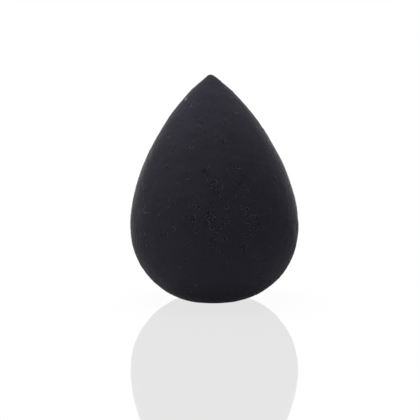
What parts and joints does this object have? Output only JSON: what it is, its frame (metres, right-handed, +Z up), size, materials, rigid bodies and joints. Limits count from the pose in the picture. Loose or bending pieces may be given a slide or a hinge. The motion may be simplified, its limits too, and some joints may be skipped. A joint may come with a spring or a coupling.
{
  "type": "makeup sponge",
  "caption": "Teardrop makeup sponge of soft open-cell foam, with a round belly, a tapering tip and a small flat to stand on.",
  "frame": {"origin": "centre of the small flat that the sponge stands on", "axes": "+Z up along the sponge's axis of symmetry, from the flat to the tip; X and Y across the belly"},
  "size_m": [0.044, 0.044, 0.06],
  "materials": {
    "foam": "matte open-cell foam with a soft nap"
  },
  "bodies": {
    "root": {"foam_body": "foam"}
  },
  "joints": []
}
